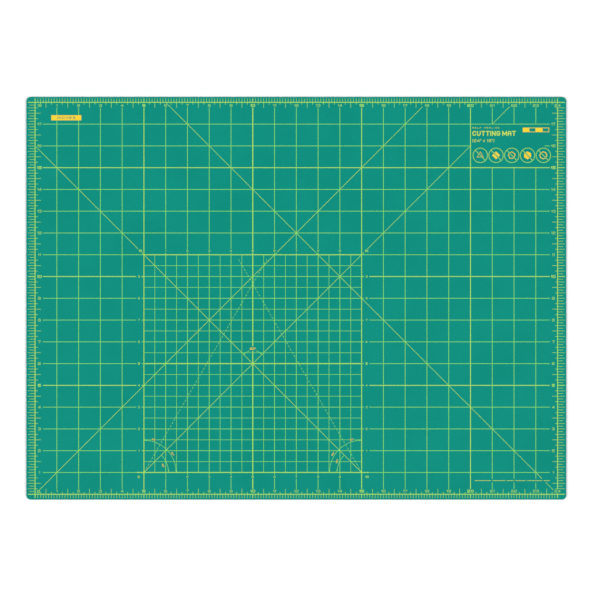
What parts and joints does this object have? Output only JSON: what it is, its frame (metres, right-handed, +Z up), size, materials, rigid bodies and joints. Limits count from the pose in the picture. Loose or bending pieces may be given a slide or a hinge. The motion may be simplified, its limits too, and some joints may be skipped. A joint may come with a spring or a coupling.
{
  "type": "self healing mat",
  "caption": "Flat double-sided self-healing cutting mat, with an inch grid, scales and angle guides printed on its face and a centimetre grid on its back.",
  "frame": {"origin": "under the middle of the mat, on the surface it lies on", "axes": "+X along the long side, to the right when the face is read; +Y along the short side, towards the top of the print; +Z up out of the face"},
  "size_m": [0.63, 0.47, 0.0016],
  "materials": {
    "face_sheet": "matte, finely grained soft vinyl",
    "core_sheet": "stiff vinyl core, seen only at the edge",
    "back_sheet": "matte, finely grained soft vinyl",
    "face_ink": "screen-printed yellow ink film, satin",
    "back_ink": "screen-printed yellow ink film, satin"
  },
  "bodies": {
    "root": {"face_sheet": "face_sheet", "core_sheet": "core_sheet", "back_sheet": "back_sheet", "long_side_scales": "face_ink", "short_side_scales": "face_ink", "scale_numerals": "face_ink", "inch_lines": "face_ink", "five_inch_lines": "face_ink", "block_centre_lines": "face_ink", "block_rules": "face_ink", "half_inch_lines": "face_ink", "block_numerals": "face_ink", "diagonal_lines": "face_ink", "sixty_degree_lines": "face_ink", "angle_arcs": "face_ink", "angle_labels": "face_ink", "inch_tag": "face_ink", "title_caption": "face_ink", "title_words": "face_ink", "size_line": "face_ink", "scale_bar": "face_ink", "template_rings": "face_ink", "template_figures": "face_ink", "note_line": "face_ink", "back_long_side_scales": "back_ink", "back_short_side_scales": "back_ink", "five_centimetre_lines": "back_ink", "centimetre_lines": "back_ink", "back_diagonal_lines": "back_ink", "back_numerals": "back_ink", "centimetre_tag": "back_ink"}
  },
  "joints": []
}
